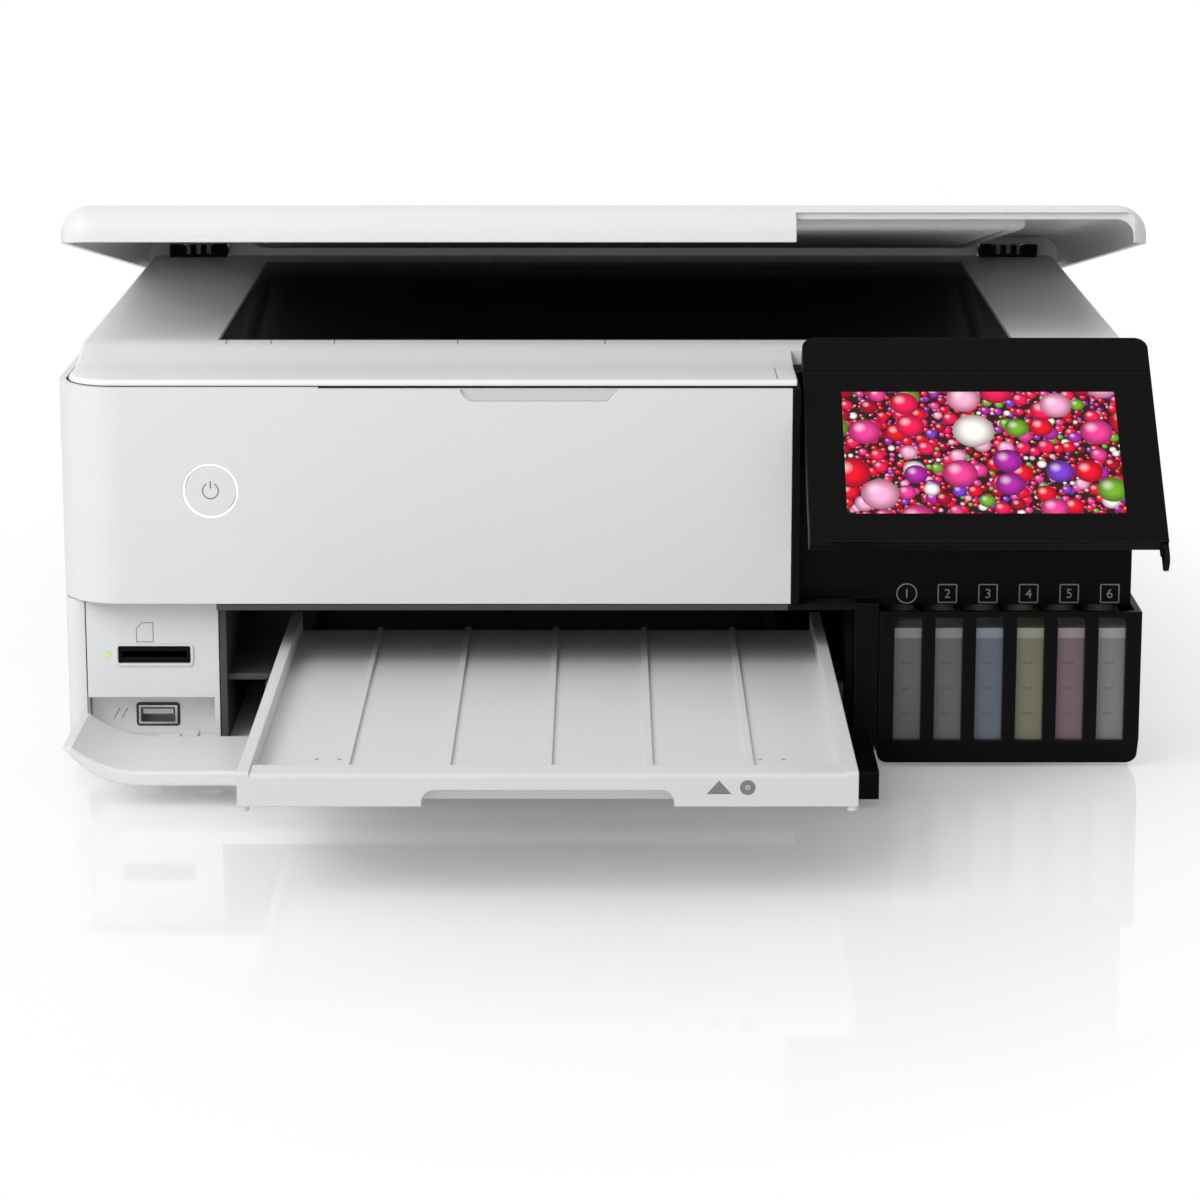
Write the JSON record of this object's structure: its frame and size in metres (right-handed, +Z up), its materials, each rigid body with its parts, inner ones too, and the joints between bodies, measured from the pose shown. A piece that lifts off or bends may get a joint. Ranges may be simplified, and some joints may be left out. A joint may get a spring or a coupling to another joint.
{
  "type": "inkjet printer",
  "caption": "Flatbed scanner and inkjet printer with ink tanks behind windows, a tilting touch panel, a hinged lid and a sliding output tray.",
  "frame": {"origin": "on the floor, under the middle of the machine's box with its tray drawn out", "axes": "+Z up, -Y towards the user in front, +X to the user's right"},
  "size_m": [0.406, 0.539, 0.205],
  "materials": {
    "white_plastic": "fine satin",
    "tray_plastic": "fine satin",
    "black_plastic": "satin",
    "dark_plastic": "satin",
    "black_gloss": "gloss",
    "scan_glass": "polished",
    "screen": "lit screen behind the touch glass",
    "mat_foam": "smooth white sheet",
    "steel": "brushed",
    "chassis_steel": "zinc coated",
    "gear_plastic": "moulded",
    "roller_rubber": "ground",
    "foot_rubber": "moulded",
    "board_green": "lacquered",
    "supply_metal": "zinc coated",
    "belt_rubber": "moulded",
    "lamp_green": "lit lens",
    "ring_light": "light guide",
    "tank_1": "translucent",
    "tank_2": "translucent",
    "tank_3": "translucent",
    "tank_4": "translucent",
    "tank_5": "translucent",
    "tank_6": "translucent"
  },
  "bodies": {
    "printer": {"base_pan": "white_plastic", "rubber_feet": "foot_rubber", "left_side_cover": "white_plastic", "right_side_cover": "white_plastic", "rear_housing": "white_plastic", "housing_screws": "steel", "front_panel": "white_plastic", "light_ring": "ring_light", "panel_fascia": "black_plastic", "hinge_pins": "steel", "bay_liner": "dark_plastic", "card_panel": "white_plastic", "status_lamp": "lamp_green", "card_reader": "black_plastic", "usb_port": "steel", "tank_housing": "black_plastic", "tank_caps": "dark_plastic", "mech_frame": "chassis_steel", "carriage_rail": "steel", "platen": "black_plastic", "timing_belt": "belt_rubber", "carriage_motor": "steel", "star_wheel_bar": "dark_plastic", "capping_station": "dark_plastic", "waste_ink_box": "dark_plastic", "feed_motor": "steel", "power_supply": "supply_metal", "main_board": "board_green", "power_inlet": "black_plastic", "ink_tank_1": "tank_1", "ink_tank_2": "tank_2", "ink_tank_3": "tank_3", "ink_tank_4": "tank_4", "ink_tank_5": "tank_5", "ink_tank_6": "tank_6"},
    "scanner": {"scanner_bed": "white_plastic", "scanner_glass": "scan_glass", "scanner_pan": "dark_plastic", "sensor_rail": "steel"},
    "sensor": {"sensor_bar": "black_plastic"},
    "lid": {"lid_cover": "white_plastic", "lid_mat": "mat_foam"},
    "control_panel": {"panel_housing": "black_plastic", "touch_glass": "black_gloss", "display_module": "screen"},
    "front_flap": {"front_cover": "white_plastic", "cover_end": "black_plastic"},
    "tray": {"output_tray": "tray_plastic"},
    "cassette": {"paper_cassette": "dark_plastic"},
    "feeder_flap": {"feeder_cover": "white_plastic"},
    "button": {"power_button": "white_plastic"},
    "carriage_unit": {"carriage": "dark_plastic", "print_head": "steel"},
    "drive_wheel": {"drive_pulley": "gear_plastic"},
    "idler_wheel": {"idler_pulley": "gear_plastic"},
    "feed": {"feed_roller": "steel"},
    "exit": {"exit_roller": "roller_rubber"},
    "idler_cog": {"idler_gear": "gear_plastic"},
    "pinion": {"feed_pinion": "gear_plastic"},
    "pickup": {"pickup_roller": "roller_rubber"}
  },
  "joints": [
    {"name": "scanner_lift", "type": "hinge", "parent": "printer", "child": "scanner", "pos_m": [0, 0.2125, 0.131], "axis": [-1, 0, 0], "range_deg": [0, 25]},
    {"name": "lid_hinge", "type": "hinge", "parent": "scanner", "child": "lid", "pos_m": [0, 0.2105, 0.1504], "axis": [-1, 0, 0], "range_deg": [-9.35, 60]},
    {"name": "sensor_slide", "type": "slide", "parent": "scanner", "child": "sensor", "axis": [1, 0, 0], "range_m": [0, 0.268]},
    {"name": "panel_tilt", "type": "hinge", "parent": "printer", "child": "control_panel", "pos_m": [0.1375, -0.091, 0.1304], "axis": [-1, 0, 0], "range_deg": [-50, 8]},
    {"name": "cover_hinge", "type": "hinge", "parent": "printer", "child": "front_flap", "pos_m": [-0.03, -0.0965, 0.01], "axis": [-1, 0, 0], "range_deg": [0, 20]},
    {"name": "tray_slide", "type": "slide", "parent": "printer", "child": "tray", "axis": [0, 1, 0], "range_m": [0, 0.172]},
    {"name": "cassette_slide", "type": "slide", "parent": "printer", "child": "cassette", "axis": [0, 1, 0], "range_m": [-0.12, 0]},
    {"name": "feeder_hinge", "type": "hinge", "parent": "printer", "child": "feeder_flap", "pos_m": [-0.0183, 0.2635, 0.1468], "axis": [-1, 0, 0], "range_deg": [0, 100]},
    {"name": "button_press", "type": "slide", "parent": "printer", "child": "button", "axis": [0, 1, 0], "range_m": [0, 0.001], "stiffness_N_per_m": 300},
    {"name": "carriage_slide", "type": "slide", "parent": "printer", "child": "carriage_unit", "axis": [1, 0, 0], "range_m": [-0.24, 0]},
    {"name": "drive_spin", "type": "hinge", "parent": "printer", "child": "drive_wheel", "pos_m": [0.1575, 0.0476, 0.092], "axis": [0, 1, 0], "range_deg": [-2200, 20]},
    {"name": "idler_spin", "type": "hinge", "parent": "printer", "child": "idler_wheel", "pos_m": [-0.136, 0.0476, 0.092], "axis": [0, 1, 0], "range_deg": [-2200, 20]},
    {"name": "feed_spin", "type": "hinge", "parent": "printer", "child": "feed", "pos_m": [-0.025, 0.0255, 0.054], "axis": [1, 0, 0], "continuous": true},
    {"name": "exit_spin", "type": "hinge", "parent": "printer", "child": "exit", "pos_m": [-0.025, -0.0245, 0.056], "axis": [1, 0, 0], "continuous": true},
    {"name": "idler_cog_spin", "type": "hinge", "parent": "printer", "child": "idler_cog", "pos_m": [-0.153, -0.00448, 0.0552], "axis": [1, 0, 0], "continuous": true},
    {"name": "pinion_spin", "type": "hinge", "parent": "printer", "child": "pinion", "pos_m": [-0.153, 0.03301, 0.08201], "axis": [1, 0, 0], "continuous": true},
    {"name": "pickup_spin", "type": "hinge", "parent": "printer", "child": "pickup", "pos_m": [-0.0183, 0.22432, 0.09326], "axis": [1, 0, 0], "continuous": true}
  ],
  "couplings": [
    {"joint": "drive_spin", "follows": "carriage_slide", "rad_per_m": 153.85},
    {"joint": "idler_spin", "follows": "carriage_slide", "rad_per_m": 153.85},
    {"joint": "idler_cog_spin", "follows": "feed_spin", "ratio": -2},
    {"joint": "exit_spin", "follows": "feed_spin", "ratio": 2},
    {"joint": "pinion_spin", "follows": "feed_spin", "ratio": -2.2222}
  ]
}
